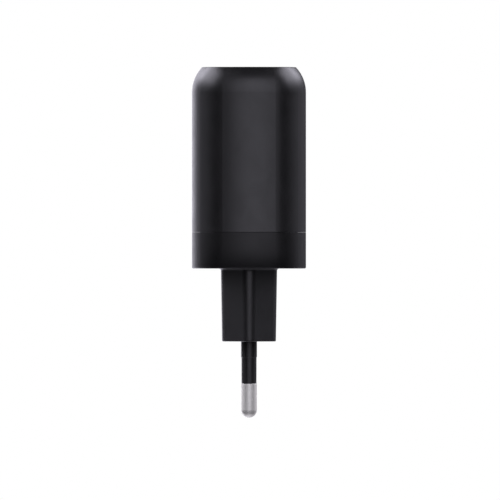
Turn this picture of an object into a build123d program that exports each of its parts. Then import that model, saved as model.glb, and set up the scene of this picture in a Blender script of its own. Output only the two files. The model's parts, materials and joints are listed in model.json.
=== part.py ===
from build123d import *
import math
import os

# USB wall charger with a fixed two-pin europlug stem, a USB-A and a USB-C port.
# +Z points from the wall socket through the charger towards the ports.
# Origin: centre of the flat end of the stem that meets the socket (the engagement face).
# X is the thickness; Y is the width, along which the two pins are spaced (front pin at -Y).
# Millimetres and degrees. Suffixes: _T thickness, _W width, _H height, _L length, _R radius,
# _Z0/_Z1 lower and upper limits (likewise _X0/_X1 and _Y0/_Y1).

os.makedirs("parts", exist_ok=True)

# ------------------------------------------------------------------ driving dimensions
BODY_T = 29.0
BODY_W = 46.0
STEM_H = 18.55           # engagement face to the underside of the body
BASE_H = 9.25            # base cover below the seam
BODY_H = 51.23           # underside of the body to the port face
TOP_R = 9.2              # rounded top edge
TOP_TANGENT = 6.38       # how far below the port face that radius starts
# arcs of the crowned narrow side, from its apex: start angle, end angle, radius
END_ARCS = ((0.0, 14.0, 28.0), (14.0, 60.0, 9.2))
SEAM_GAP = 0.04          # parting gap between housing and base cover
SEAM_BREAK = 0.05        # chamfer on both sides of that gap
WALL = 2.0               # housing wall
CEILING = 2.6            # housing top, including the port plate's recess
PLATE_INSET = 4.3        # port plate outline, inward from the body outline
PLATE_T = 1.6
LIP_H = 3.0              # welding lip above the seam

STEM_WALL = 1.6
STEM_END = 3.2           # stem's end wall

PCB_T = 1.6
PCB_X1 = -5.0            # component side of the main board
PCB_Y = 18.1             # half width of the main board
PCB_Z0, PCB_Z1 = 22.2, 54.0
PORT_PCB_T = 1.2         # the port board lies across the top of the main board

USB_A_Y = 8.8            # port centres along Y
USB_C_Y = -10.0
USB_A_W, USB_A_T = 13.1, 5.8     # receptacle shells, outside
USB_C_W, USB_C_T = 8.94, 3.16
MOUTH_DROP = 0.5         # receptacle mouths sit this far below the port face

CUT = 1.0                # how far cutting bodies run past what they cut
FAR = 20.0               # reach of cutting bodies that need no exact end

Z_BODY = STEM_H
Z_SEAM = Z_BODY + BASE_H
Z_TOP = Z_BODY + BODY_H
Z_TANGENT = Z_TOP - TOP_TANGENT
Z_CEIL = Z_TOP - CEILING
Z_MOUTH = Z_TOP - MOUTH_DROP
PCB_X0 = PCB_X1 - PCB_T
PORT_Z0 = PCB_Z1
PORT_Z1 = PCB_Z1 + PORT_PCB_T


# ------------------------------------------------------------------ basic shapes
def box(x0, x1, y0, y1, z0, z1):
    """Box between opposite corners; each pair of limits may come in either order."""
    block = Box(abs(x1 - x0), abs(y1 - y0), abs(z1 - z0))
    return Pos((x0 + x1) / 2, (y0 + y1) / 2, (z0 + z1) / 2) * block


def port_box(thick, width, y, z0, z1):
    """Box centred on x = 0 and on a port's y."""
    return box(-thick / 2, thick / 2, y - width / 2, y + width / 2, z0, z1)


def rounded(shape, radius, axis=Axis.Z):
    return fillet(shape.edges().filter_by(axis), radius)


def bevelled(shape, size, axis=Axis.Z):
    return chamfer(shape.edges().filter_by(axis), size)


def cyl(radius, x, y, z0, z1):
    return Pos(x, y, (z0 + z1) / 2) * Cylinder(radius, z1 - z0)


def cyl_x(radius, x0, x1, y, z):
    return Pos((x0 + x1) / 2, y, z) * Rot(0, 90, 0) * Cylinder(radius, x1 - x0)


def cyl_y(radius, x, y0, y1, z):
    return Pos(x, (y0 + y1) / 2, z) * Rot(90, 0, 0) * Cylinder(radius, y1 - y0)


def edges_at(shape, position, axis=Axis.Z):
    """Edges whose centres lie at this position along the axis."""
    return shape.edges().filter_by_position(axis, position - 0.005, position + 0.005)


def ribbon(points, thick, width, y):
    """Strip following points (x, z), mitred at the bends, its width centred on y."""
    normals = []
    for (ax, az), (bx, bz) in zip(points, points[1:]):
        length = math.hypot(bx - ax, bz - az)
        normals.append(((az - bz) / length, (bx - ax) / length))
    left, right = [], []
    for i, (x, z) in enumerate(points):
        near = normals[max(i - 1, 0):i + 1]
        sum_x = sum(n[0] for n in near)
        sum_z = sum(n[1] for n in near)
        scale = thick / 2 / (sum_x * near[0][0] + sum_z * near[0][1])
        left.append((x + sum_x * scale, z + sum_z * scale))
        right.append((x - sum_x * scale, z - sum_z * scale))
    loop = [Vector(x, y - width / 2, z) for x, z in left + right[::-1]]
    face = Face(Wire.make_polygon(loop, close=True))
    return Part() + extrude(face, amount=width, dir=(0, 1, 0))


def save(name, *shapes):
    """Writes the solids of the shapes as one STEP file."""
    solids = [solid for shape in shapes for solid in shape.solids()]
    if len(solids) == 1:
        item = solids[0]
    else:
        item = Compound(children=[Solid(solid.wrapped) for solid in solids])
    item.label = name
    export_step(item, f"parts/{name}.step")


# ------------------------------------------------------------------ body outline
def end_arcs(width):
    """Arcs from the apex of the -Y end to the broad side: centre x, y, radius, angles."""
    sines = [(math.sin(math.radians(a)), math.sin(math.radians(b)), r) for a, b, r in END_ARCS]
    reach = sum(r * (sin_b - sin_a) for sin_a, sin_b, r in sines)
    last = END_ARCS[-1][1]
    last_r = (BODY_T / 2 - reach) / (1 - math.sin(math.radians(last)))
    previous = END_ARCS[0][2]
    x, y = 0.0, -width / 2 + previous
    arcs = []
    for start, end, radius in END_ARCS + ((last, 90.0, last_r),):
        angle = math.radians(start)
        x += (previous - radius) * math.sin(angle)
        y -= (previous - radius) * math.cos(angle)
        arcs.append((x, y, radius, start, end))
        previous = radius
    return arcs


def outline(inset, z, width=BODY_W):
    """The body's outline moved inward by inset, as a face at height z."""
    arcs = end_arcs(width)

    def point(arc, degrees, side_x, side_y):
        x, y, radius = arc[:3]
        angle = math.radians(degrees)
        return Vector(side_x * (x + (radius - inset) * math.sin(angle)),
                      side_y * (y - (radius - inset) * math.cos(angle)), z)

    apex = arcs[0]
    edges = []
    for side_y in (1, -1):
        edges.append(Edge.make_three_point_arc(point(apex, apex[4], -1, side_y),
                                               point(apex, 0, 1, side_y),
                                               point(apex, apex[4], 1, side_y)))
        for side_x in (1, -1):
            for arc in arcs[1:]:
                start, end = arc[3:]
                stops = (start, (start + end) / 2, end)
                edges.append(Edge.make_three_point_arc(
                    *[point(arc, degrees, side_x, side_y) for degrees in stops]))
    for side_x in (1, -1):
        edges.append(Edge.make_line(point(arcs[-1], 90, side_x, 1),
                                    point(arcs[-1], 90, side_x, -1)))
    return Face(Wire(edges))


def prism(inset, z0, z1):
    return Part() + extrude(outline(inset, z0), amount=z1 - z0, dir=(0, 0, 1))


def domed(inset, z0, z1):
    """Prism whose top edge is rounded with the body's big radius, cut flat at z1."""
    radius = TOP_R - inset
    peak = Z_TANGENT + radius
    body = prism(inset, z0, peak)
    body = fillet(edges_at(body, peak), radius)
    return body & box(-2 * FAR, 2 * FAR, -2 * FAR, 2 * FAR, z0 - CUT, z1)


# ------------------------------------------------------------------ stem outline
STEM_T = 13.7            # at the engagement face
STEM_W = 35.3
STEM_DRAFT = 0.92        # degrees
STEM_APEX_R = 2.15       # rounded ridge along each narrow side
STEM_CORNER_R = 2.6


def stem_outline(grow, z):
    """Flattened hexagon with a rounded ridge on each narrow side, moved outward by grow."""
    half_t, half_w = STEM_T / 2, STEM_W / 2
    c45 = math.sqrt(0.5)
    # length of the 45 degree flank between the ridge arc and the corner arc
    flank = (half_t - STEM_APEX_R * c45 - STEM_CORNER_R * (1 - c45)) / c45
    apex_y = -half_w + STEM_APEX_R
    corner_x = (STEM_APEX_R + flank - STEM_CORNER_R) * c45
    corner_y = -half_w + STEM_APEX_R * (1 - c45) + (flank + STEM_CORNER_R) * c45
    apex_r, corner_r = STEM_APEX_R + grow, STEM_CORNER_R + grow
    apex_end = (apex_r * c45, apex_y - apex_r * c45)
    corner = []
    for degrees in (45.0, 22.5, 0.0):
        angle = math.radians(degrees)
        corner.append((corner_x + corner_r * math.cos(angle),
                       corner_y - corner_r * math.sin(angle)))

    def at(point, side_x, side_y):
        return Vector(side_x * point[0], side_y * point[1], z)

    edges = []
    for side_y in (1, -1):
        edges.append(Edge.make_three_point_arc(at(apex_end, -1, side_y),
                                               at((0, apex_y - apex_r), 1, side_y),
                                               at(apex_end, 1, side_y)))
        for side_x in (1, -1):
            edges.append(Edge.make_line(at(apex_end, side_x, side_y),
                                        at(corner[0], side_x, side_y)))
            edges.append(Edge.make_three_point_arc(*[at(p, side_x, side_y) for p in corner]))
    for side_x in (1, -1):
        edges.append(Edge.make_line(at(corner[2], side_x, 1), at(corner[2], side_x, -1)))
    return Face(Wire(edges))


def stem_prism(grow, z0, z1):
    slope = math.tan(math.radians(STEM_DRAFT))
    ends = [stem_outline(grow + slope * z, z) for z in (z0, z1)]
    return Part() + loft(ends, ruled=True)


# ------------------------------------------------------------------ housing shell
PORT_GAP = 0.12          # around each receptacle
PLATE_GAP = 0.12         # around the port plate
RIM_R = 0.35             # rim of the port face
RIB_T, RIB_GAP = 1.1, 0.12    # ribs guiding the main board: outer face and gap, from the board
RIB_Y0, RIB_Y1 = PCB_Y - 0.7, 21.6
RIB_Z0 = Z_SEAM + LIP_H + 0.6
HOUSING_Z0 = Z_SEAM + SEAM_GAP / 2


def port_hole(thick, width, y, radius):
    hole = port_box(thick + 2 * PORT_GAP, width + 2 * PORT_GAP, y, Z_CEIL - CUT, Z_TOP + CUT)
    return rounded(hole, radius)


usb_a_hole = port_hole(USB_A_T, USB_A_W, USB_A_Y, 0.6)
usb_c_hole = port_hole(USB_C_T, USB_C_W, USB_C_Y, USB_C_T / 2 + 0.1)

housing = domed(0, HOUSING_Z0, Z_TOP)
housing = chamfer(edges_at(housing, HOUSING_Z0), SEAM_BREAK)
housing = fillet(edges_at(housing, Z_TOP), RIM_R)
housing -= domed(WALL, Z_SEAM - CUT, Z_CEIL)
housing -= prism(PLATE_INSET - PLATE_GAP, Z_TOP - PLATE_T, Z_TOP + CUT)
housing -= usb_a_hole
housing -= usb_c_hole
ribs = Part()
for side_y in (1, -1):
    for x0, x1 in ((PCB_X0 - RIB_T, PCB_X0 - RIB_GAP), (PCB_X1 + RIB_GAP, PCB_X1 + RIB_T)):
        ribs += box(x0, x1, side_y * RIB_Y0, side_y * RIB_Y1, RIB_Z0, PORT_Z0 - 0.15)
# the ribs end halfway inside the housing wall
housing += ribs & domed(WALL - 0.5, RIB_Z0, Z_CEIL + 0.5)
save("housing_shell", housing)

# ------------------------------------------------------------------ pin axes and sleeve seats
PIN_PITCH = 18.6         # at the engagement face
PIN_TILT = 1.64          # degrees each pin leans towards the other at its tip
PIN_HOLE_R = 2.12        # hole in the stem's end wall
FLANGE_R = 3.0           # flange of the insulating sleeve, inside the stem
FLANGE_Z0, FLANGE_Z1 = 2.8, 4.2
FLANGE_SEAT_R = FLANGE_R + 0.1
PIN_SIDES = ((-1, "front"), (1, "rear"))


def lean(side, shape):
    """Places something built on the Z axis onto the leaning axis of the pin on this side."""
    return Pos(0, side * PIN_PITCH / 2, 0) * Rot(-side * PIN_TILT, 0, 0) * shape


# ------------------------------------------------------------------ base cover with plug stem
BASE_WALL = 3.0          # thick enough to carry the welding lip
FLOOR = 2.2
LIP_CLEAR = 0.05
BOTTOM_R = 0.35          # lower rim of the body
END_DRAFT = 2.0          # lean of the two narrow ends at the seam, degrees
END_SWEEP = 16.0         # further lean gained by the underside; the broad sides stay upright
END_STEPS = 40           # integration steps of that lean
LOFT_STEPS = 6
STEM_ROOT_R = 0.6        # fillet where the stem meets the body
STEM_END_R = 0.3         # rim of the engagement face
POST_Y0, POST_Y1 = 13.6, 15.8    # slotted posts holding the main board's lower edge
POST_SIDE = 1.6          # post thickness on each side of the board
POST_GAP = 0.06
POST_RISE = 1.4          # above the board's lower edge
BASE_TOP = Z_SEAM - SEAM_GAP / 2


def end_inset(z):
    """How far each narrow end of the base cover has leaned in at height z."""
    depth = max(0.0, (Z_SEAM - z) / BASE_H)
    total = 0.0
    for i in range(END_STEPS):
        part = (i + 0.5) / END_STEPS * depth
        angle = math.radians(END_DRAFT + END_SWEEP * part ** 3)
        total += math.tan(angle) * depth / END_STEPS * BASE_H
    return total


levels = [BASE_TOP - k * (BASE_TOP - Z_BODY) / LOFT_STEPS for k in range(LOFT_STEPS, -1, -1)]
base = Part() + loft([outline(0, z, BODY_W - 2 * end_inset(z)) for z in levels])
base = fillet(edges_at(base, Z_BODY), BOTTOM_R)
base = chamfer(edges_at(base, BASE_TOP), SEAM_BREAK)
base += prism(WALL + LIP_CLEAR, Z_SEAM - 1.0, Z_SEAM + LIP_H)
base -= prism(BASE_WALL, Z_BODY + FLOOR, Z_SEAM + LIP_H + CUT)
stem = stem_prism(0, 0, Z_BODY + 0.5)
base += fillet(edges_at(stem, 0), STEM_END_R)
# only the stem's root edges, not the rim of the underside
root = [e for e in edges_at(base, Z_BODY)
        if abs(e.center().X) < 8.5 and abs(e.center().Y) < 18.6]
base = fillet(root, STEM_ROOT_R)
base -= stem_prism(-STEM_WALL, STEM_END, Z_BODY + FLOOR + CUT)
for side, _ in PIN_SIDES:
    base -= lean(side, cyl(PIN_HOLE_R, 0, 0, -2 * CUT, STEM_END + CUT))
    base -= lean(side, cyl(FLANGE_SEAT_R, 0, 0, FLANGE_Z0, STEM_END + 3 * CUT))
for side in (-1, 1):
    base += box(PCB_X0 - POST_SIDE, PCB_X1 + POST_SIDE, side * POST_Y0, side * POST_Y1,
                Z_BODY + FLOOR - 0.3, PCB_Z0 + POST_RISE)
    base -= box(PCB_X0 - POST_GAP, PCB_X1 + POST_GAP,
                side * (POST_Y0 - CUT), side * (POST_Y1 + CUT), PCB_Z0, PCB_Z0 + 3)
save("base_cover", base)

# ------------------------------------------------------------------ port plate
PLATE_TOP = Z_TOP - 0.04

plate = prism(PLATE_INSET, Z_TOP - PLATE_T, PLATE_TOP)
plate = fillet(edges_at(plate, PLATE_TOP), 0.15)
plate -= usb_a_hole
plate -= usb_c_hole
hole_wires = plate.faces().sort_by(Axis.Z)[-1].inner_wires()
plate = chamfer([e for wire in hole_wires for e in wire.edges()], 0.3)
save("port_plate", plate)

# ------------------------------------------------------------------ plug pins and sleeves
PIN_L = 19.4             # engagement face to pin tip
PIN_R = 2.0              # bare contact end
TIP_L = 8.68             # length of the bare contact end
CORE_R = 1.4             # pin inside the sleeve
BORE_R = CORE_R + 0.01
NECK_R = CORE_R - 0.35   # thin upper end of the pin
PIN_TOP = 10.4
SHOULDER_Z = PIN_TOP - 1.2    # where the neck starts
SLEEVE_R = 1.95          # insulated part, next to the collar
SLEEVE_END_R = 1.91      # insulated part, at the bare contact end
COLLAR_R = 2.03          # thicker root of the sleeve
COLLAR_L = 4.03
BARE_Z0 = -PIN_L + PIN_R      # centre of the ball end
BARE_Z1 = -PIN_L + TIP_L


def plug_pin():
    tip = cyl(PIN_R, 0, 0, BARE_Z0, BARE_Z1) + Pos(0, 0, BARE_Z0) * Sphere(PIN_R)
    tip = chamfer(edges_at(tip, BARE_Z1), 0.05)
    core = cyl(CORE_R, 0, 0, BARE_Z1 - 0.5, SHOULDER_Z)
    return tip + core + cyl(NECK_R, 0, 0, SHOULDER_Z - 0.3, PIN_TOP)


def pin_sleeve():
    cone = Cone(SLEEVE_END_R, SLEEVE_R, FLANGE_Z0 - BARE_Z1)
    cone = Pos(0, 0, (BARE_Z1 + FLANGE_Z0) / 2) * cone
    collar = cyl(COLLAR_R, 0, 0, -COLLAR_L, FLANGE_Z0)
    collar = chamfer(edges_at(collar, -COLLAR_L), 0.08)
    flange = cyl(FLANGE_R, 0, 0, FLANGE_Z0, FLANGE_Z1)
    return cone + collar + flange - cyl(BORE_R, 0, 0, -PIN_L, FAR)


for side, name in PIN_SIDES:
    save("plug_pin_" + name, lean(side, plug_pin()))
    save("pin_sleeve_" + name, lean(side, pin_sleeve()))

# ------------------------------------------------------------------ pin carrier
CARRIER_TOP = 9.0
POCKET_X, POCKET_Y = 2.2, 5.0    # half sizes of the pocket between the pins
POCKET_ROOF = 1.6

carrier = stem_prism(-STEM_WALL - 0.06, STEM_END + 0.05, CARRIER_TOP)
carrier -= box(-POCKET_X, POCKET_X, -POCKET_Y, POCKET_Y, STEM_END, CARRIER_TOP - POCKET_ROOF)
for side, _ in PIN_SIDES:
    carrier -= lean(side, cyl(FLANGE_SEAT_R, 0, 0, 0, FLANGE_Z1))
    carrier -= lean(side, cyl(BORE_R, 0, 0, 0, FAR))
save("pin_carrier", carrier)

# ------------------------------------------------------------------ contact strips, pin to board
STRIP_T, STRIP_W = 0.5, 3.0
STRIP_X = -2.25          # upright run
STRIP_RISE = 12.7        # upright run above the pin shoulder, before it is cut level
STRIP_CUT_Z = 19.0       # the leaning part ends here
STRIP_Y = 9.8            # centre of the upper part
BOARD_STRIP_X = PCB_X1 + STRIP_T / 2
# x, z measured from the pin shoulder, along the pin's axis
LOWER_STRIP = ((2.0, STRIP_T / 2), (STRIP_X, STRIP_T / 2), (STRIP_X, STRIP_RISE))
# x, z: across to the component side of the main board
UPPER_STRIP = ((STRIP_X, 17.8), (STRIP_X, 21.2), (BOARD_STRIP_X, 23.0), (BOARD_STRIP_X, 26.2))

for side, name in PIN_SIDES:
    strip = ribbon(LOWER_STRIP, STRIP_T, STRIP_W, 0)
    strip = lean(side, Pos(0, 0, SHOULDER_Z) * strip)
    strip -= lean(side, cyl(NECK_R + 0.01, 0, 0, 0, 30))
    strip = strip & box(-10, 10, -FAR, FAR, 0, STRIP_CUT_Z)
    save("contact_strip_" + name, strip + ribbon(UPPER_STRIP, STRIP_T, STRIP_W, side * STRIP_Y))

# ------------------------------------------------------------------ places on the main board
BULK_CAPS = ((-12.9, 39.2), (-12.9, 48.2))    # y, z
BULK_LEAD_Y = 1.75       # half the lead spacing
THERM_X, THERM_Z = -0.3, 27.2
YCAP_X, YCAP_Z = -1.4, 30.8
FUSE_Z = 25.0
CHOKE_X, CHOKE_Z = 1.3, 29.2
TR_Y, TR_Z = 3.4, 43.4   # transformer centre
TR_W, TR_D = 19.6, 13.6  # its core along Y and Z
TR_X0, TR_X1 = -4.0, 10.0

# through-hole leads: y, z, x of the component end
FUSE_LEADS = [(-6.9, FUSE_Z, -3.0), (2.3, FUSE_Z, -3.0)]
THERM_LEADS = [(5.4, THERM_Z, -3.5), (7.0, THERM_Z, -3.5)]
YCAP_LEADS = [(-2.2, YCAP_Z, -4.2), (1.4, YCAP_Z, -4.2)]
CHOKE_LEADS = [(y, CHOKE_Z + dz, -4.2) for dz in (-2.2, 2.2) for y in (12.4, 15.4)]
LEADS = [(y + dy, z, PCB_X1) for y, z in BULK_CAPS for dy in (-BULK_LEAD_Y, BULK_LEAD_Y)]
LEADS += [(-15.8, 30.4, PCB_X1), (-7.0, 30.4, PCB_X1)]    # X capacitor
LEADS += FUSE_LEADS + THERM_LEADS + YCAP_LEADS + CHOKE_LEADS
TR_PINS = [(TR_Y + dy, TR_Z + dz, TR_X0 + 0.6)
           for dz in (-8.6, 8.6) for dy in (-6.0, -2.0, 2.0, 6.0)]
LEAD_R = 0.3
TR_PIN_R = 0.35
LEAD_HOLE_GAP = 0.1
LEAD_STICKOUT = 0.9      # beyond the board's solder side


def drill(shape, leads, radius=LEAD_R, deeper=0.0):
    """Cuts leads out of a component, from the board side to deeper than their ends."""
    for y, z, x in leads:
        shape -= cyl_x(radius, -FAR, x + deeper, y, z)
    return shape


# ------------------------------------------------------------------ main board and its leads
TAB_Y = (-12.5, 12.5)    # tabs of the main board that pass through the port board
TAB_HALF_W = 2.0
TAB_GAP = 0.05

main_pcb = rounded(box(PCB_X0, PCB_X1, -PCB_Y, PCB_Y, PCB_Z0, PCB_Z1), 0.8, Axis.X)
for y in TAB_Y:
    main_pcb += box(PCB_X0, PCB_X1, y - TAB_HALF_W, y + TAB_HALF_W, PCB_Z1 - 0.5, PORT_Z1)
leads, joints = {}, []
for group, places, radius in (("component_leads", LEADS, LEAD_R),
                              ("transformer_pins", TR_PINS, TR_PIN_R)):
    leads[group] = []
    for y, z, x in places:
        main_pcb -= cyl_x(radius + LEAD_HOLE_GAP, PCB_X0 - CUT, PCB_X1 + CUT, y, z)
        leads[group].append(cyl_x(radius, PCB_X0 - LEAD_STICKOUT, x, y, z))
        # conical solder joint on the solder side
        cone = Pos(PCB_X0 - 0.3, y, z) * Rot(0, -90, 0) * Cone(radius + 0.55, radius + 0.2, 0.6)
        joints.append(cone - cyl_x(radius, -FAR, 0, y, z))
    save(group, *leads[group])
save("main_pcb", main_pcb)

# concave solder fillets on the port board beside the tabs
for tab in TAB_Y:
    for y in (tab - 1.2, tab + 1.2):
        for side, x in ((-1, PCB_X0), (1, PCB_X1)):
            joint = Pos(x, y, PORT_Z1) * Box(1.6, 1.2, 1.2)
            joint -= Pos(x + side * 1.3, y, PORT_Z1 + 1.0) * Rot(90, 0, 0) * Cylinder(1.2, 3)
            joints.append(joint & box(x, x + side * 0.8, tab - 3, tab + 3,
                                      PORT_Z1, PORT_Z1 + 0.6))

# ------------------------------------------------------------------ primary side, leaded parts
FUSE_Y0, FUSE_Y1 = -6.0, 1.4
FUSE_CAP_L = 1.6

fuse = box(-4.6, -0.9, FUSE_Y0, FUSE_Y1, FUSE_Z - 1.85, FUSE_Z + 1.85)
save("mains_fuse", rounded(fuse, 0.4, Axis.Y))
fuse_caps = []
for lead, y0, y1 in ((FUSE_LEADS[0], FUSE_Y0 - FUSE_CAP_L, FUSE_Y0),
                     (FUSE_LEADS[1], FUSE_Y1, FUSE_Y1 + FUSE_CAP_L)):
    cap = rounded(box(-4.75, -0.75, y0, y1, FUSE_Z - 2.0, FUSE_Z + 2.0), 0.5, Axis.Y)
    fuse_caps.append(drill(cap, [lead]))
save("fuse_end_caps", *fuse_caps)


def disc(radius, x, y0, y1, z, edge_radius):
    """Disc component standing across Y, with rounded rims."""
    body = cyl_y(radius, x, y0, y1, z)
    return fillet(body.edges().filter_by(GeomType.CIRCLE), edge_radius)


save("inrush_thermistor", drill(disc(3.5, THERM_X, 4.4, 8.0, THERM_Z, 0.6), THERM_LEADS))
save("x_capacitor", rounded(box(PCB_X1, 6.4, -17.0, -5.8, 27.7, 33.1), 0.5, Axis.X))
save("y_capacitor", drill(disc(2.9, YCAP_X, -2.6, 1.8, YCAP_Z, 1.1), YCAP_LEADS, deeper=1.4))

# the choke is a ring core with its axis along Y, its windings split by a slot along Z
choke_core = (cyl_y(5.0, CHOKE_X, 11.9, 15.9, CHOKE_Z)
              - cyl_y(2.6, CHOKE_X, 10, 18, CHOKE_Z))
save("choke_core", choke_core)
windings = (cyl_y(5.7, CHOKE_X, 11.2, 16.6, CHOKE_Z)
            - cyl_y(1.9, CHOKE_X, 10, 18, CHOKE_Z)) - choke_core
windings -= box(CHOKE_X - 0.8, CHOKE_X + 0.8, 10, 18, 20, 40)
save("choke_windings", drill(windings, CHOKE_LEADS))

# ------------------------------------------------------------------ chips on the solder side
FOOT_T = 0.2
LEAD_LEG = 0.25          # thickness of the part of a lead that runs to the board
FOOT_L = 0.45            # foot beyond that


def chip(x0, x1, y0, y1, z0, z1, count, half_lead, reach):
    """Package with count leads on each of its two Z sides, soldered to the board at PCB_X0."""
    body = bevelled(box(x0, x1, y0, y1, z0, z1), 0.15, Axis.X)
    mid = (x0 + x1) / 2
    for i in range(count):
        y = y0 + (i + 0.5) * (y1 - y0) / count
        span = (y - half_lead, y + half_lead)
        for z, way in ((z0, -1), (z1, 1)):
            outer = z + way * reach
            inner = z + way * (reach - LEAD_LEG)
            body += box(mid - 0.1, mid + 0.1, *span, z, outer)
            body += box(mid, PCB_X0, *span, inner, outer)
            body += box(PCB_X0 - FOOT_T, PCB_X0, *span, inner, z + way * (reach + FOOT_L))
    return body


save("bridge_rectifier", chip(-9.4, -6.8, -14.3, -8.7, 26.2, 30.2, 2, 0.45, 0.9))
save("switch_controller_chip",
     bevelled(box(-7.6, PCB_X0, 2.2, 10.0, 38.2, 43.8), 0.12, Axis.X))
save("optocoupler", chip(-8.9, -6.8, -9.6, -5.2, 40.0, 46.4, 2, 0.25, 0.9))
save("sync_rectifier_chip", chip(-8.2, -6.75, -2.6, 2.3, 46.0, 49.0, 4, 0.2, 0.7))

# ------------------------------------------------------------------ bulk capacitors, axis along X
BULK_R, BULK_TOP = 4.1, 10.4
BULK_X0 = PCB_X1 + 0.5   # open end of the can
BUNG_X1 = BULK_X0 + 1.6
CAN_WALL = 0.4
FILM_T = 0.12            # plastic sleeve around the can
FILM_TURN = 0.6          # height over which it turns in over the top


def rounded_can(radius, x0, x1, y, z, edge_radius):
    """Cylinder along X with its +X rim rounded."""
    return fillet(edges_at(cyl_x(radius, x0, x1, y, z), x1, Axis.X), edge_radius)


def bulk_can(y, z):
    can = rounded_can(BULK_R, BULK_X0, BULK_TOP, y, z, 0.5)
    can -= Pos(BULK_X0 + 2.2, y, z) * Rot(0, 90, 0) * Torus(BULK_R + 0.35, 0.75)    # bead
    for angle in (0, 90):    # scored cross on the top
        can -= Pos(BULK_TOP, y, z) * Rot(angle, 0, 0) * Box(0.3, 0.25, 4.4)
    return can - cyl_x(BULK_R - CAN_WALL, BULK_X0 - CUT, BUNG_X1, y, z)


def bulk_sleeve(y, z):
    turn = BULK_TOP - FILM_TURN
    side = cyl_x(BULK_R + FILM_T, BULK_X0, turn, y, z) - cyl_x(BULK_R, -FAR, FAR, y, z)
    top = rounded_can(BULK_R + FILM_T, turn, BULK_TOP + FILM_T, y, z, 0.6)
    top -= rounded_can(BULK_R, BULK_TOP - 3, BULK_TOP, y, z, 0.5)
    top -= cyl_x(3.1, 0, FAR, y, z)
    return side + top


save("bulk_capacitor_cans", *[bulk_can(y, z) for y, z in BULK_CAPS])
save("bulk_capacitor_sleeves", *[bulk_sleeve(y, z) for y, z in BULK_CAPS])
save("bulk_capacitor_bungs",
     *[cyl_x(BULK_R - CAN_WALL - 0.02, PCB_X1, BUNG_X1, y, z) for y, z in BULK_CAPS])

# ------------------------------------------------------------------ transformer
# E-E ferrite core, winding axis along X
YOKE = 3.0
WINDOW_Y = 7.4           # half width of the core's window
CORE_POST_R = 3.5
FORMER_R = 4.3           # outside of the bobbin's tube
BOBBIN_HALF = 7.3        # half size of the bobbin's square flanges
BOBBIN_Z = 9.4           # outer faces of the pin blocks, from the centre
BOBBIN_GAP = 0.05
FLANGE_END = 0.85        # inner face of a flange, from the yoke
TAPE_T = 0.15
CORE_EDGE_R = 0.5
YOKE_X0, YOKE_X1 = TR_X0 + YOKE, TR_X1 - YOKE


def tr_box(x0, x1, half_y, half_z):
    return box(x0, x1, TR_Y - half_y, TR_Y + half_y, TR_Z - half_z, TR_Z + half_z)


def tr_cyl(radius, x0, x1):
    return cyl_x(radius, x0, x1, TR_Y, TR_Z)


core = rounded(tr_box(TR_X0, TR_X1, TR_W / 2, TR_D / 2), CORE_EDGE_R)
core -= tr_box(YOKE_X0, YOKE_X1, WINDOW_Y, TR_D)
core += tr_cyl(CORE_POST_R, YOKE_X0, YOKE_X1)
save("transformer_core", core)

bobbin = Part()
for x0, x1 in ((YOKE_X0 + BOBBIN_GAP, YOKE_X0 + FLANGE_END),
               (YOKE_X1 - FLANGE_END, YOKE_X1 - BOBBIN_GAP)):
    bobbin += rounded(tr_box(x0, x1, BOBBIN_HALF, BOBBIN_HALF), 0.8, Axis.X)
bobbin += tr_cyl(FORMER_R, YOKE_X0 + BOBBIN_GAP, YOKE_X1 - BOBBIN_GAP)
bobbin -= tr_cyl(CORE_POST_R + 0.06, TR_X0, TR_X1)
for way in (-1, 1):
    bobbin += box(TR_X0, YOKE_X0 + FLANGE_END, TR_Y - BOBBIN_HALF, TR_Y + BOBBIN_HALF,
                  TR_Z + way * (TR_D / 2 + 0.06), TR_Z + way * BOBBIN_Z)
save("transformer_bobbin", drill(bobbin, TR_PINS, TR_PIN_R))

save("transformer_winding",
     tr_cyl(6.7, YOKE_X0 + 0.9, YOKE_X1 - 0.9) - tr_cyl(FORMER_R, TR_X0, TR_X1))

tape = tr_box(TR_X0 - TAPE_T, TR_X1 + TAPE_T, TR_W / 2 + TAPE_T, 4.0)
tape = rounded(tape, CORE_EDGE_R + TAPE_T)
save("transformer_tape", tape - rounded(tr_box(TR_X0, TR_X1, TR_W / 2, 5.0), CORE_EDGE_R))

# ------------------------------------------------------------------ parts on the port board
OUT_CAPS = ((7.4, -8.2), (7.4, 0.4))    # x, y
OUT_CAP_R = 3.15
OUT_CAP_HALF = 3.4       # half size of the square base
OUT_CAP_Z0, OUT_CAP_Z1 = PORT_Z1 + 0.9, PORT_Z1 + 7.6
INDUCTOR_TOP = PORT_Z1 + 3.0

cap_bases, cap_cans = [], []
for x, y in OUT_CAPS:
    cap_bases.append(rounded(box(x - OUT_CAP_HALF, x + OUT_CAP_HALF, y - OUT_CAP_HALF,
                                 y + OUT_CAP_HALF, PORT_Z1, OUT_CAP_Z0), 0.9))
    can = cyl(OUT_CAP_R, x, y, OUT_CAP_Z0, OUT_CAP_Z1)
    can = fillet(edges_at(can, OUT_CAP_Z1), 0.4)
    cap_cans.append(can - Pos(x, y, PORT_Z1 + 2.2) * Torus(OUT_CAP_R + 0.3, 0.6))
save("output_capacitor_bases", *cap_bases)
save("output_capacitor_cans", *cap_cans)

inductor = rounded(box(-10.4, -3.9, -5.6, 0.9, PORT_Z1, INDUCTOR_TOP), 1.0)
save("output_inductor", chamfer(edges_at(inductor, INDUCTOR_TOP), 0.3))
save("pd_controller_chip",
     bevelled(box(-9.2, -5.2, 4.8, 8.8, PORT_Z1, PORT_Z1 + 0.85), 0.1))

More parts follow.
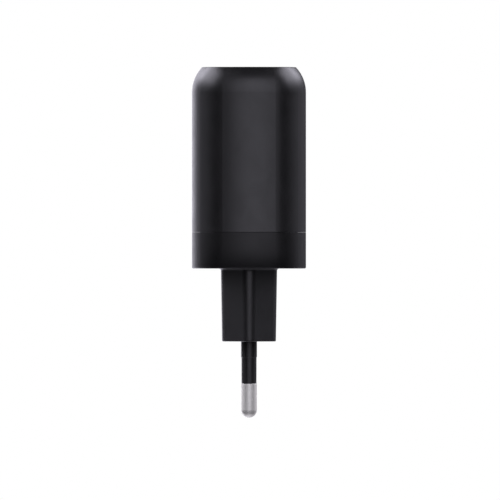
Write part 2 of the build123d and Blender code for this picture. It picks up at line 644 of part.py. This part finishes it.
# ------------------------------------------------------------------ small surface-mount parts
smd = []
for i in range(7):       # main board, two staggered columns
    y, z = 11.6 + (i % 2) * 2.2, 33.2 + i * 2.3
    smd.append(box(PCB_X0 - 0.55, PCB_X0, y, y + 1.2, z, z + 0.6))
for i in range(6):       # main board, two rows of three
    y, z = -4.0 + (i % 3) * 1.9, 36.4 + (i // 3) * 1.8
    smd.append(box(PCB_X0 - 0.5, PCB_X0, y, y + 1.2, z, z + 0.7))
for i in range(5):       # port board, row along Y
    y = 10.2 + i * 1.2
    smd.append(box(-9.4, -8.2, y - 0.3, y + 0.3, PORT_Z1, PORT_Z1 + 0.5))
for i in range(4):       # port board, row along X
    x = 5.0 + i * 1.3
    smd.append(box(x, x + 0.7, 6.2, 7.5, PORT_Z1, PORT_Z1 + 0.5))
save("smd_components", *smd)

# ------------------------------------------------------------------ heat spreader and insulation
CAVITY_X = -(BODY_T / 2 - WALL)    # inner face of the housing's -X wall
SPREADER_X = CAVITY_X + 0.6        # face of the heat spreader towards the board

save("heat_spreader",
     rounded(box(CAVITY_X, SPREADER_X, -10.2, 10.2, 31.6, 53.2), 1.5, Axis.X))
save("thermal_pad", box(SPREADER_X, -7.6, 2.6, 9.6, 38.6, 43.4))
sheet = rounded(box(SPREADER_X, SPREADER_X + 0.3, -11.0, 11.0, 31.3, 53.5), 1.5, Axis.X)
save("insulation_sheet", sheet - box(-FAR, 0, 2.4, 9.8, 38.4, 43.6))

# ------------------------------------------------------------------ receptacles, shared
SHEET = 0.3              # shell sheet
TAIL_Z0 = PORT_Z0 - 0.8  # lower end of legs and contact tails
TAIL_GAP = 0.1           # around them in the port board
TONGUE_FIT = 0.02        # gap between shell and tongue base
port_cuts = []


def shell_leg(side, y, width, half_x, rise):
    """Leg on one Y side of a shell; its slot in the port board is noted in port_cuts."""
    outer, inner = width / 2, width / 2 - SHEET
    slot_x = half_x + TAIL_GAP
    port_cuts.append(box(-slot_x, slot_x, y + side * (inner - TAIL_GAP),
                         y + side * (outer + TAIL_GAP), PORT_Z0 - CUT, PORT_Z1 + CUT))
    return box(-half_x, half_x, y + side * inner, y + side * outer, TAIL_Z0, PORT_Z1 + rise)


# ------------------------------------------------------------------ USB-A receptacle
A_BASE = PORT_Z1 + 2.1   # top of the tongue's base
A_TONGUE_X0, A_TONGUE_X1 = -1.90, -0.06
A_TONGUE_W = 11.1
A_TONGUE_TOP = Z_MOUTH - 0.7
CONTACT_Y = (-3.5, -1.0, 1.0, 3.5)    # from the port's centre
CONTACT_T, CONTACT_W = 0.2, 0.9
HINGE_X = A_TONGUE_X1 - 0.48          # root of each contact spring
HINGE_Z = PORT_Z1 + 6.0
SLOT_X0 = HINGE_X - 0.12
SLOT_HALF_W = 0.65
# contact spring: x, z
SPRING = ((HINGE_X, HINGE_Z), (0.08, HINGE_Z + 4.3), (0.26, HINGE_Z + 5.0),
          (0.26, HINGE_Z + 5.4), (-0.30, HINGE_Z + 6.5))

shell = rounded(port_box(USB_A_T, USB_A_W, USB_A_Y, PORT_Z1, Z_MOUTH), 0.55)
shell -= rounded(port_box(USB_A_T - 2 * SHEET, USB_A_W - 2 * SHEET, USB_A_Y,
                          PORT_Z1 - CUT, Z_MOUTH + CUT), 0.3)
# lead-in on the inner edges of the mouth
shell = chamfer([e for e in edges_at(shell, Z_MOUTH)
                 if abs(e.center().X) < USB_A_T / 2 - 0.1
                 and abs(e.center().Y - USB_A_Y) < USB_A_W / 2 - 0.1], 0.12)
# retention leaves, cut as U slots in the broad sides
u_slot = box(-0.6, 0.6, -1.25, 1.25, 0, 6.0) - box(-0.6, 0.6, -1.0, 1.0, 0.25, 6.0)
for dy in (-3.1, 3.1):
    for side in (-1, 1):
        shell -= Pos(side * (USB_A_T - SHEET) / 2, USB_A_Y + dy, Z_MOUTH - 9.0) * u_slot
legs = Part()
for side in (-1, 1):
    legs += shell_leg(side, USB_A_Y, USB_A_W, 1.0, 0.5)
save("usb_a_shell", shell + legs)

base_inset = 2 * (SHEET + TONGUE_FIT)
tongue = rounded(port_box(USB_A_T - base_inset, USB_A_W - base_inset, USB_A_Y,
                          PORT_Z1, A_BASE), 0.3)
blade = box(A_TONGUE_X0, A_TONGUE_X1, USB_A_Y - A_TONGUE_W / 2, USB_A_Y + A_TONGUE_W / 2,
            A_BASE - 0.5, A_TONGUE_TOP)
tongue += chamfer(edges_at(blade, A_TONGUE_TOP), 0.25)


def contact_box(y, x_gap, y_gap, z0, z1):
    """Box around a contact tail, larger by the gaps."""
    half_x, half_y = CONTACT_T / 2 + x_gap, CONTACT_W / 2 + y_gap
    return box(HINGE_X - half_x, HINGE_X + half_x, y - half_y, y + half_y, z0, z1)


tails = []
for i, dy in enumerate(CONTACT_Y):
    y = USB_A_Y + dy
    slot = (y - SLOT_HALF_W, y + SLOT_HALF_W)
    tongue -= box(SLOT_X0, HINGE_X + 1.1, *slot, A_BASE + 0.2, HINGE_Z + 1)
    tongue -= contact_box(y, 0.02, 0.02, PORT_Z1 - CUT, A_BASE + CUT)
    # deeper slot for the spring to bend into
    tongue -= box(A_TONGUE_X1 - 1.10, A_TONGUE_X1 + 1.0, *slot,
                  HINGE_Z + 0.1, A_TONGUE_TOP - 0.75)
    tail = contact_box(y, 0, 0, TAIL_Z0, HINGE_Z - 0.05)
    tails.append(tail)
    port_cuts.append(contact_box(y, TAIL_GAP, TAIL_GAP, PORT_Z0 - CUT, PORT_Z1 + CUT))
    joints.append(box(A_TONGUE_X1 - 0.9, A_TONGUE_X1, y - 0.7, y + 0.7, PORT_Z0 - 0.4, PORT_Z0)
                  & box(-FAR, A_TONGUE_X1 - 0.06, 0, FAR, PORT_Z0 - CUT, PORT_Z0 + CUT)
                  - tail)
    save(f"usb_a_contact_{i + 1}", ribbon(SPRING, CONTACT_T, CONTACT_W, y))
save("usb_a_tongue", tongue)
save("usb_a_contact_tails", *tails)
save("solder_joints", *joints)

# ------------------------------------------------------------------ USB-C receptacle
C_BASE = Z_MOUTH - 6.2   # bottom of the mouth's cavity
C_TOP = Z_MOUTH - 1.5    # top of the tongue
C_TONGUE_HALF_W = 3.345
C_COLLAR_TOP = C_BASE + 1.2      # thicker root of the tongue
C_PITCH, C_COUNT = 0.5, 12       # contacts in each of the two rows
C_HALF_W = 0.13
C_CONTACT_X = (0.25, 0.40)
C_CONTACT_TOP = C_TOP - 0.35
MIDPLATE = (-0.1, 0.1, USB_C_Y - 3.2, USB_C_Y + 3.2, C_BASE - 3.0)    # all but its top


def obround(inset, z0, z1):
    """The USB-C outline moved inward by inset, with fully rounded ends."""
    thick = USB_C_T - 2 * inset
    block = port_box(thick, USB_C_W - 2 * inset, USB_C_Y, z0, z1)
    return rounded(block, thick / 2 - 0.001)


shell = obround(0, PORT_Z1, Z_MOUTH) - obround(SHEET, PORT_Z1 - CUT, Z_MOUTH + CUT)
for side in (-1, 1):
    shell += shell_leg(side, USB_C_Y, USB_C_W, 0.6, 0.6)
save("usb_c_shell", shell)

tongue = obround(SHEET + TONGUE_FIT, PORT_Z1, C_BASE)
tongue += port_box(1.2, 6.2, USB_C_Y, C_BASE - 0.5, C_COLLAR_TOP)
blade = port_box(0.7, 2 * C_TONGUE_HALF_W, USB_C_Y, C_BASE - 0.5, C_TOP)
tongue += chamfer(edges_at(blade, C_TOP).filter_by(Axis.Y), 0.15)
tongue -= box(*MIDPLATE, C_TOP + CUT)
contacts = []
for i in range(C_COUNT):
    y = USB_C_Y + (i - (C_COUNT - 1) / 2) * C_PITCH
    span = (y - C_HALF_W, y + C_HALF_W)
    for side in (-1, 1):
        x0, x1 = (side * x for x in C_CONTACT_X)
        contacts.append(box(x0, x1, *span, PORT_Z1, C_CONTACT_TOP))
        tongue -= box(x0, side * 0.75, *span, C_COLLAR_TOP, C_CONTACT_TOP)
        tongue -= box(x0, x1, *span, PORT_Z1 - CUT, C_BASE + 1.3)
save("usb_c_tongue", tongue)
save("usb_c_contacts", *contacts)
save("usb_c_midplate", box(*MIDPLATE, C_TOP - 0.1))

# ------------------------------------------------------------------ port board
port_pcb = rounded(box(-11.2, 11.2, -17.2, 17.2, PORT_Z0, PORT_Z1), 3.5)
for y in TAB_Y:
    half = TAB_HALF_W + TAB_GAP
    port_pcb -= box(PCB_X0 - TAB_GAP, PCB_X1 + TAB_GAP, y - half, y + half,
                    PORT_Z0 - CUT, PORT_Z1 + CUT)
for cut in port_cuts:
    port_pcb -= cut
save("port_pcb", port_pcb)
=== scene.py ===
# A black moulded plug-in charger with its circuit parts inside, on a pale floor.
# Units are metres and +Z is up. The camera looks along +Y, square on to the narrow side,
# so "front" is -Y, "left" is -X and "right" is +X.
import json
import math

import bpy
import bmesh
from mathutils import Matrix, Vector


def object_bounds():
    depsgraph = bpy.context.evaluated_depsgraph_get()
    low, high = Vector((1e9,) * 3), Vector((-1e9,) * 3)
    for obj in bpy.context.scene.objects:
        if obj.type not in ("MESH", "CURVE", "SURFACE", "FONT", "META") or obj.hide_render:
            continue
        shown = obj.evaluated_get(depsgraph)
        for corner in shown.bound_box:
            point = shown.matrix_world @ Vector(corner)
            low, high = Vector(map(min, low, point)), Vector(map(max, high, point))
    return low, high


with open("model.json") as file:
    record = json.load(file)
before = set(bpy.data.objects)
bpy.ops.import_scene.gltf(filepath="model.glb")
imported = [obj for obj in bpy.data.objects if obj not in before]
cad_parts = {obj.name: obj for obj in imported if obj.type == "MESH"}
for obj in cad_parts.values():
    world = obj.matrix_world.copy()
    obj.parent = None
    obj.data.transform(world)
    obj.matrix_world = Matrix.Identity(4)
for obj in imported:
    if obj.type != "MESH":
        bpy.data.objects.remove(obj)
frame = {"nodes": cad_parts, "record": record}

MM = 0.001
MICRON = 1e-6

SHARP_ANGLE = math.radians(28)      # edges sharper than this are not smoothed

FLOOR_GAP = 0.02 * MM               # from the lowest CAD point down to the floor
FLOOR_RINGS, FLOOR_SEGMENTS = 24, 96
FLOOR_RADIUS = 20 * MM              # multiplied by FLOOR_GROWTH once for each ring
FLOOR_GROWTH = 1.32

SENSOR_WIDTH, LENS = 36.0, 1500.0   # in millimetres, as Blender's camera takes them
VIEW_WIDTH = 127.2 * MM             # width in view at the plane y = VIEW_Y
VIEW_X, VIEW_Y, VIEW_Z = 0.26 * MM, -10 * MM, 23.27 * MM

scene = bpy.context.scene
cad_low, cad_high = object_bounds()


# ------------------------------------------------------------------ node helpers
class Tree:
    """An emptied node tree, with short ways to add nodes and links."""

    def __init__(self, owner):
        owner.use_nodes = True
        self.node_tree = owner.node_tree
        self.node_tree.nodes.clear()

    def put(self, socket, value):
        """Link a socket, or set a value; colours are given without alpha."""
        if isinstance(value, bpy.types.NodeSocket):
            self.node_tree.links.new(value, socket)
        elif socket.type == "RGBA":
            socket.default_value = (*value, 1.0)
        else:
            socket.default_value = value

    def add(self, kind, inputs=None, **properties):
        """Add a node; properties go first, as they decide which inputs are in use."""
        node = self.node_tree.nodes.new(kind)
        for name, value in properties.items():
            setattr(node, name, value)
        for key, value in (inputs or {}).items():
            self.put(node.inputs[key], value)
        return node

    def math(self, operation, *operands, clamp=False):
        inputs = dict(enumerate(operands))
        return self.add("ShaderNodeMath", inputs, operation=operation, use_clamp=clamp).outputs[0]

    def remap(self, value, from_min, from_max, to_min=0.0, to_max=1.0, kind="SMOOTHSTEP"):
        return self.add("ShaderNodeMapRange", {
            "Value": value, "From Min": from_min, "From Max": from_max,
            "To Min": to_min, "To Max": to_max,
        }, interpolation_type=kind, clamp=True).outputs[0]

    def band(self, value, rise_start, rise_end, fall_start, fall_end):
        """0 outside the band, 1 on its plateau, smooth slopes between."""
        rise = self.remap(value, rise_start, rise_end)
        fall = self.remap(value, fall_start, fall_end, 1.0, 0.0)
        return self.math("MULTIPLY", rise, fall)

    def mix(self, factor, first, second):
        return self.add("ShaderNodeMix", {0: factor, 6: first, 7: second},
                        data_type="RGBA").outputs[2]

    def mix_shader(self, factor, first, second):
        return self.add("ShaderNodeMixShader", {0: factor, 1: first, 2: second}).outputs[0]

    def noise(self, vector, size_mm, detail, rough=0.5, distort=0.0):
        return self.add("ShaderNodeTexNoise", {
            "Vector": vector, "Scale": 1 / (size_mm * MM), "Detail": detail,
            "Roughness": rough, "Distortion": distort,
        }).outputs[0]

    def bump(self, height, depth_um, strength=1.0):
        return self.add("ShaderNodeBump", {
            "Strength": strength, "Distance": depth_um * MICRON, "Height": height,
        }).outputs[0]

    def stretch(self, vector, scale):
        return self.add("ShaderNodeMapping", {"Vector": vector, "Scale": scale}).outputs[0]

    def xyz(self, vector):
        return self.add("ShaderNodeSeparateXYZ", {0: vector}).outputs

    def edge_mask(self, radius_mm):
        """1 on edges, from how far a rounded normal leaves the true one."""
        rounded = self.add("ShaderNodeBevel", {"Radius": radius_mm * MM}, samples=4).outputs[0]
        true = self.add("ShaderNodeNewGeometry").outputs["Normal"]
        agreement = self.add("ShaderNodeVectorMath", {0: rounded, 1: true},
                             operation="DOT_PRODUCT").outputs["Value"]
        return self.remap(self.math("SUBTRACT", 1.0, agreement), 0.004, 0.12)


def shade(color, factor, lift=0.0):
    """The colour multiplied and lifted, no channel above 1."""
    return tuple(min(1.0, channel * factor + lift) for channel in color)


def new_material(name):
    """A material with one Principled shader: the material, tree, shader and coordinates."""
    material = bpy.data.materials.new(name)
    tree = Tree(material)
    shader = tree.add("ShaderNodeBsdfPrincipled")
    tree.add("ShaderNodeOutputMaterial", {0: shader.outputs[0]})
    place = tree.add("ShaderNodeTexCoord").outputs["Object"]
    return material, tree, shader, place


# ------------------------------------------------------------------ kinds of material
def plastic(name, color, rough, grain_mm=0.16, grain_um=2.2, wear=0.5, spec=0.5, haze=0.05,
            mottle=0.25, lower_finish=None):
    """Moulded plastic: fine grain, faint flow variation, haze and lightly polished edges.

    grain_mm and grain_um are the grain's size and depth, wear the strength of the edge
    scuffs, haze the spread of roughness and mottle the spread of brightness. lower_finish
    is (height, spec), another specular level below that height.
    """
    material, t, shader, place = new_material(name)
    flow = t.noise(t.stretch(place, (1, 1, 0.45)), size_mm=9, detail=3, rough=0.55, distort=0.6)
    blotches = t.noise(place, size_mm=2.6, detail=4, rough=0.6)
    grain = t.noise(place, size_mm=grain_mm, detail=3, rough=0.62)
    pits = t.add("ShaderNodeTexVoronoi", {
        "Vector": place, "Scale": 1 / (grain_mm * 1.7 * MM),
    }, feature="SMOOTH_F1").outputs["Distance"]

    # Colour: blotches, then flow brightness, then scuffed edges
    brightness = t.remap(flow, 0.35, 0.65, 1 - mottle * 0.5, 1 + mottle * 0.5, kind="LINEAR")
    base = t.mix(t.remap(blotches, 0.3, 0.75), shade(color, 0.92), shade(color, 1.10))
    surface = t.add("ShaderNodeVectorMath", {0: base, "Scale": brightness},
                    operation="SCALE").outputs[0]
    edge_polish = 0.0
    if wear > 0:
        edge = t.edge_mask(radius_mm=0.25)
        scuffs = t.remap(t.noise(place, size_mm=0.9, detail=4, rough=0.7), 0.42, 0.62)
        edge = t.math("MULTIPLY", edge, t.math("MULTIPLY", scuffs, wear))
        surface = t.mix(edge, surface, shade(color, 2.4, lift=0.006))
        edge_polish = t.math("MULTIPLY", edge, -0.10)
    t.put(shader.inputs["Base Color"], surface)

    # Roughness: handling haze, grain and smoother edges
    smears = t.noise(place, size_mm=5.5, detail=5, rough=0.62, distort=0.8)
    haze_part = t.math("MULTIPLY", t.remap(smears, 0.35, 0.7), haze)
    grain_part = t.math("MULTIPLY", t.math("SUBTRACT", grain, 0.5), 0.10)
    roughness = t.math("ADD", rough - haze / 2, haze_part)
    roughness = t.math("ADD", roughness, grain_part)
    t.put(shader.inputs["Roughness"], t.math("ADD", roughness, edge_polish, clamp=True))

    shader.inputs["IOR"].default_value = 1.49
    if lower_finish:
        height, lower_spec = lower_finish
        blend = 0.05 * MM       # half height of the change of finish
        spec = t.remap(t.xyz(place)[2], height - blend, height + blend, lower_spec, spec)
    t.put(shader.inputs["Specular IOR Level"], spec)

    relief = t.math("ADD", t.math("MULTIPLY", grain, 0.7), t.math("MULTIPLY", pits, 0.5))
    t.put(shader.inputs["Normal"], t.bump(relief, grain_um))
    return material


def metal(name, color, rough, across=None, line_mm=0.05, line_um=0.6):
    """Plated or drawn metal: tool lines, cloudy roughness, darker stains and a painted highlight
    along the edges.

    across is the axis the lines follow one another along; without it they are an even
    grain. line_mm and line_um are their size and depth.
    """
    cloudiness = 0.06       # spread of roughness
    material, t, shader, place = new_material(name)
    shader.inputs["Metallic"].default_value = 1.0
    scale = tuple(1 if across in (None, axis) else 0.03 for axis in "xyz")
    lines = t.noise(t.stretch(place, scale), size_mm=line_mm, detail=2, rough=0.6)
    clouds = t.noise(place, size_mm=1.8, detail=4, rough=0.6, distort=0.4)
    stains = t.remap(t.noise(place, size_mm=0.7, detail=5, rough=0.7), 0.52, 0.72)

    surface = t.mix(t.math("MULTIPLY", stains, 0.35), color, shade(color, 0.7))
    # Painted highlight: the base colour is lightened along every edge, with no wear mask.
    edge = t.math("MULTIPLY", t.edge_mask(radius_mm=0.12), 0.4)
    surface = t.mix(edge, surface, shade(color, 1.15, lift=0.03))
    t.put(shader.inputs["Base Color"], surface)

    roughness = t.math("ADD", rough - cloudiness / 2, t.math("MULTIPLY", clouds, cloudiness))
    line_part = t.math("MULTIPLY", t.math("SUBTRACT", lines, 0.5), 0.16)
    t.put(shader.inputs["Roughness"], t.math("ADD", roughness, line_part, clamp=True))
    t.put(shader.inputs["Normal"], t.bump(lines, line_um))
    return material


def circuit_board():
    """Glass-epoxy board: green solder mask in a brick pattern, over a fine weave."""
    material, t, shader, place = new_material("board_green")
    weave = t.add("ShaderNodeTexChecker", {"Vector": place, "Scale": 1 / (0.55 * MM)}).outputs[1]
    bricks, mortar = t.add("ShaderNodeTexBrick", {
        "Vector": t.stretch(place, (1, 1, 1)),
        "Scale": 1 / (3.0 * MM),
        "Mortar Size": 0.06,
        "Color1": (0.012, 0.105, 0.045),
        "Color2": (0.016, 0.125, 0.055),
        "Mortar": (0.006, 0.065, 0.03),
    }).outputs
    mask = t.mix(t.math("MULTIPLY", weave, 0.12), bricks, (0.02, 0.16, 0.07))
    surface = t.mix(t.edge_mask(radius_mm=0.12), mask, (0.30, 0.28, 0.16))
    t.put(shader.inputs["Base Color"], surface)
    clouds = t.noise(place, size_mm=1.2, detail=3)
    t.put(shader.inputs["Roughness"], t.remap(clouds, 0.3, 0.7, 0.28, 0.40))
    t.put(shader.inputs["Normal"], t.bump(mortar, depth_um=18, strength=0.6))
    return material


def copper_turns():
    """Enamelled wire in close turns, one after another along X."""
    color = (0.72, 0.28, 0.10)
    material, t, shader, place = new_material("copper_turns")
    turns = t.add("ShaderNodeTexWave", {
        "Vector": place, "Scale": 1 / (0.30 * MM) / 6.0, "Distortion": 0.6, "Detail": 1,
    }, wave_type="BANDS", bands_direction="X", wave_profile="SIN").outputs[1]
    # Painted shade: the copper is darkened to 35% in the troughs between turns, where the grooves
    # between wires fall into shade.
    t.put(shader.inputs["Base Color"], t.mix(turns, shade(color, 0.35), color))
    shader.inputs["Metallic"].default_value = 0.85
    clouds = t.noise(place, size_mm=0.8, detail=3)
    t.put(shader.inputs["Roughness"], t.remap(clouds, 0.3, 0.7, 0.22, 0.36))
    t.put(shader.inputs["Normal"], t.bump(turns, depth_um=60))
    return material


# ------------------------------------------------------------------ materials, by slot
BLACK = (0.0032, 0.0031, 0.0034)

materials = {
    "housing": plastic("housing_satin_black", BLACK, rough=0.38,
                       grain_mm=0.17, grain_um=1.6, wear=0.35),
    # Painted shade: the cover's black is the housing's black darkened to 0.90, standing in for
    # the shade on the lower part of the body.
    "cover": plastic("cover_satin_black", shade(BLACK, 0.90), rough=0.42,
                     grain_mm=0.17, grain_um=1.6, wear=0.30, spec=0.37,
                     lower_finish=(18.5 * MM, 0.47)),
    "plate": plastic("plate_fine_black", (0.0036, 0.0035, 0.0039), rough=0.28,
                     grain_mm=0.09, grain_um=0.5, wear=0.3, haze=0.03, mottle=0.1),
    "sleeve": plastic("sleeve_black", (0.0048, 0.0047, 0.0051), rough=0.42,
                      grain_mm=0.12, grain_um=0.8, wear=0.25, spec=0.42),
    "pin_metal": metal("pin_nickel", (0.75, 0.745, 0.70), rough=0.56, across="z", line_um=0.5),
    "carrier": plastic("carrier_grey", (0.045, 0.045, 0.05), rough=0.5, wear=0.2),
    "strip": metal("strip_brass", (0.74, 0.52, 0.24), rough=0.30, across="z", line_mm=0.06),
    "board": circuit_board(),
    "ceramic": plastic("fuse_ceramic", (0.60, 0.56, 0.46), rough=0.30, grain_um=0.8, wear=0.1),
    "tinned": metal("tinned_leads", (0.66, 0.66, 0.66), rough=0.30, line_mm=0.1),
    "thermistor": plastic("thermistor_epoxy", (0.02, 0.09, 0.045), rough=0.24,
                          grain_um=1.0, wear=0.1),
    "filmcap": plastic("film_capacitor_yellow", (0.62, 0.42, 0.035), rough=0.34,
                       grain_um=1.0, wear=0.2),
    "ycap": plastic("ceramic_capacitor_blue", (0.035, 0.12, 0.42), rough=0.22,
                    grain_um=1.0, wear=0.1),
    "ferrite": plastic("ferrite_grey", (0.035, 0.035, 0.038), rough=0.42,
                       grain_mm=0.08, grain_um=3.0, wear=0.6),
    "copper": copper_turns(),
    "ic": plastic("chip_package", (0.018, 0.018, 0.020), rough=0.48,
                  grain_mm=0.05, grain_um=2.0, wear=0.2),
    "can": metal("capacitor_can", (0.76, 0.76, 0.77), rough=0.26, across="x"),
    "capsleeve": plastic("capacitor_film_sleeve", (0.010, 0.018, 0.06), rough=0.20,
                         grain_um=0.6, wear=0.2),
    "bung": plastic("capacitor_bung_rubber", (0.02, 0.02, 0.02), rough=0.7, wear=0.0),
    "bobbin": plastic("bobbin_phenolic", (0.022, 0.022, 0.024), rough=0.42, wear=0.3),
    "tape": plastic("polyester_tape", (0.62, 0.40, 0.03), rough=0.18, grain_um=0.4, wear=0.1),
    "chipparts": plastic("chip_parts", (0.26, 0.19, 0.12), rough=0.40),
    "solder": metal("solder", (0.62, 0.62, 0.63), rough=0.26, line_mm=0.2),
    "spreader": metal("aluminium_sheet", (0.76, 0.76, 0.77), rough=0.32,
                      across="z", line_mm=0.08),
    "pad": plastic("silicone_pad", (0.20, 0.27, 0.36), rough=0.6, grain_um=4.0, wear=0.0),
    "film": plastic("insulating_sheet", (0.62, 0.62, 0.56), rough=0.30, grain_um=0.6, wear=0.0),
    "shell": metal("receptacle_sheet", (0.62, 0.615, 0.61), rough=0.30,
                   across="z", line_um=0.4),
    "tongue": plastic("tongue_black", (0.016, 0.016, 0.018), rough=0.42,
                      grain_mm=0.10, wear=0.2),
    "gold": metal("contact_gold", (0.86, 0.60, 0.25), rough=0.24,
                  across="z", line_mm=0.04, line_um=0.3),
    "steel": metal("midplate_steel", (0.50, 0.50, 0.51), rough=0.32, across="z"),
}


def dress_pieces():
    """Give every CAD piece the material of its slot, and smooth it up to sharp edges."""
    slot_of = {part["node"]: part["material_slot"] for part in frame["record"]["subparts"]}
    for name, piece in frame["nodes"].items():
        mesh = piece.data
        mesh.materials.clear()
        mesh.materials.append(materials[slot_of[name]])
        for polygon in mesh.polygons:
            polygon.use_smooth = True
        mesh.set_sharp_from_angle(angle=SHARP_ANGLE)


# ------------------------------------------------------------------ pale floor
def floor_mesh():
    """A flat disc of rings that widen outwards."""
    z = cad_low.z - FLOOR_GAP
    bm = bmesh.new()
    centre = bm.verts.new((0, 0, z))
    inner = None
    for i in range(1, FLOOR_RINGS + 1):
        radius = FLOOR_RADIUS * FLOOR_GROWTH ** i
        ring = []
        for k in range(FLOOR_SEGMENTS):
            angle = 2 * math.pi * k / FLOOR_SEGMENTS
            ring.append(bm.verts.new((radius * math.cos(angle), radius * math.sin(angle), z)))
        for k in range(FLOOR_SEGMENTS):
            following = (k + 1) % FLOOR_SEGMENTS
            if inner is None:
                bm.faces.new((centre, ring[k], ring[following]))
            else:
                bm.faces.new((inner[k], ring[k], ring[following], inner[following]))
        inner = ring
    mesh = bpy.data.meshes.new("studio_floor")
    bm.to_mesh(mesh)
    bm.free()
    return mesh


def floor_material():
    """Matt near the product, glowing white far off or at a grazing view, clear from below."""
    material = bpy.data.materials.new("floor_pale")
    t = Tree(material)
    place = t.add("ShaderNodeTexCoord").outputs["Object"]
    specks = t.noise(place, size_mm=20, detail=3)
    pale = t.mix(specks, (0.812, 0.819, 0.734), (0.853, 0.860, 0.771))
    matt = t.add("ShaderNodeBsdfDiffuse", {"Color": pale}).outputs[0]
    glow = t.add("ShaderNodeEmission", {"Color": (1, 1, 1), "Strength": 1.0}).outputs[0]

    distance = t.add("ShaderNodeVectorMath", {0: place}, operation="LENGTH").outputs["Value"]
    far = t.remap(distance, 0.25, 1.2)
    facing = t.add("ShaderNodeLayerWeight", {"Blend": 0.5}).outputs["Facing"]
    grazing = t.remap(facing, 0.90, 0.975)
    top = t.mix_shader(t.math("MAXIMUM", far, grazing), matt, glow)

    below = t.add("ShaderNodeNewGeometry").outputs["Backfacing"]
    clear = t.add("ShaderNodeBsdfTransparent").outputs[0]
    t.add("ShaderNodeOutputMaterial", {0: t.mix_shader(below, top, clear)})
    return material


def make_floor():
    floor = bpy.data.objects.new("studio_floor", floor_mesh())
    scene.collection.objects.link(floor)
    floor.data.materials.append(floor_material())
    floor.visible_glossy = False
    floor.visible_diffuse = False


# ------------------------------------------------------------------ studio light
# Soft panels in the world. Each band is rise start, rise end, fall start, fall end.
# Azimuth is in degrees, 0 in front and + to the right; elevation is in degrees.
PANELS = [
    # azimuth band, elevation band, strength
    ((-30, -4, 18, 44), (-14, -2, 38, 50), 1.88),           # in front, a little right
    ((-150, -116, -98, -52), (-35, -10, 12, 24), 0.17),     # left wall
    ((60, 112, 142, 166), (-35, -10, 12, 24), 0.20),        # right wall
    ((-152, -138, -84, -58), (5, 12, 20, 32), 0.65),        # upper part of the left wall
    ((62, 84, 128, 146), (5, 12, 20, 32), 0.55),            # upper part of the right wall
    ((-181, -180, -148, -130), (-60, -20, 12, 30), 2.0),    # bright wall behind left
    ((-181, -180, -125, -95), (-80, -50, -18, -7), 0.55),   # pale table behind left
    ((95, 125, 180, 181), (-80, -50, -18, -7), 0.55),       # pale table behind right
    ((168, 176, 180, 181), (-60, -20, 40, 75), 0.6),        # strip behind, just right of centre
]
# Two long boxes overhead, parallel to Y: band along Y (of the unit direction), strength
BOX_HEIGHTS = (18, 28, 56, 61)      # band of height in degrees, seen along Y
LEFT_BOX = ((-0.50, -0.30, 0.70, 0.88), 4.6)
RIGHT_BOX = ((-0.36, -0.12, 0.70, 0.88), 4.3)
TABLE_BELOW = 1.1                   # light from straight below
AMBIENT = 0.05


def make_world():
    world = bpy.data.worlds.new("studio")
    scene.world = world
    t = Tree(world)
    x, y, z = t.xyz(t.add("ShaderNodeTexCoord").outputs["Generated"])

    def degrees(angle):
        return t.math("MULTIPLY", angle, 180 / math.pi)

    azimuth = degrees(t.math("ARCTAN2", x, t.math("MULTIPLY", y, -1.0)))
    elevation = degrees(t.math("ARCSINE", z))
    height = degrees(t.math("ARCTAN2", z, t.math("ABSOLUTE", x)))
    right = t.math("GREATER_THAN", x, 0.0)
    left = t.math("SUBTRACT", 1.0, right)

    def patch(first, second, strength):
        return t.math("MULTIPLY", t.math("MULTIPLY", first, second), strength)

    lights = [patch(t.band(azimuth, *across), t.band(elevation, *upward), strength)
              for across, upward, strength in PANELS]
    for side, (along, strength) in ((left, LEFT_BOX), (right, RIGHT_BOX)):
        box = t.math("MULTIPLY", t.band(height, *BOX_HEIGHTS), t.band(y, *along))
        lights.append(patch(box, side, strength))
    lights.append(t.math("MULTIPLY", t.remap(elevation, -52, -72), TABLE_BELOW))
    lights.append(AMBIENT)
    total = lights[0]
    for light in lights[1:]:
        total = t.math("ADD", total, light)

    # The camera sees plain white; everything else is lit by the panels
    light_color = t.mix(1.0, (1, 1, 1), (0.985, 0.962, 1.09))
    lit = t.add("ShaderNodeBackground", {"Color": light_color, "Strength": total}).outputs[0]
    seen = t.add("ShaderNodeBackground", {"Color": (1, 1, 1), "Strength": 1.0}).outputs[0]
    camera_ray = t.add("ShaderNodeLightPath").outputs["Is Camera Ray"]
    t.add("ShaderNodeOutputWorld", {0: t.mix_shader(camera_ray, lit, seen)})


# ------------------------------------------------------------------ camera and render
def make_camera():
    """A very long lens, level."""
    lens = bpy.data.cameras.new("camera")
    camera = bpy.data.objects.new("camera", lens)
    scene.collection.objects.link(camera)
    lens.sensor_width = SENSOR_WIDTH
    lens.lens = LENS
    lens.clip_start, lens.clip_end = 0.05, 50
    distance = VIEW_WIDTH * LENS / SENSOR_WIDTH
    camera.location = (VIEW_X, VIEW_Y - distance, VIEW_Z)
    camera.rotation_euler = (math.radians(90), 0, 0)
    scene.camera = camera


def set_render():
    view = scene.view_settings
    view.view_transform = "Standard"
    view.look = "None"
    view.exposure = 0.0
    view.gamma = 1.0
    scene.cycles.max_bounces = 8
    scene.cycles.diffuse_bounces = 3
    scene.cycles.glossy_bounces = 4


dress_pieces()
make_floor()
make_world()
make_camera()
set_render()
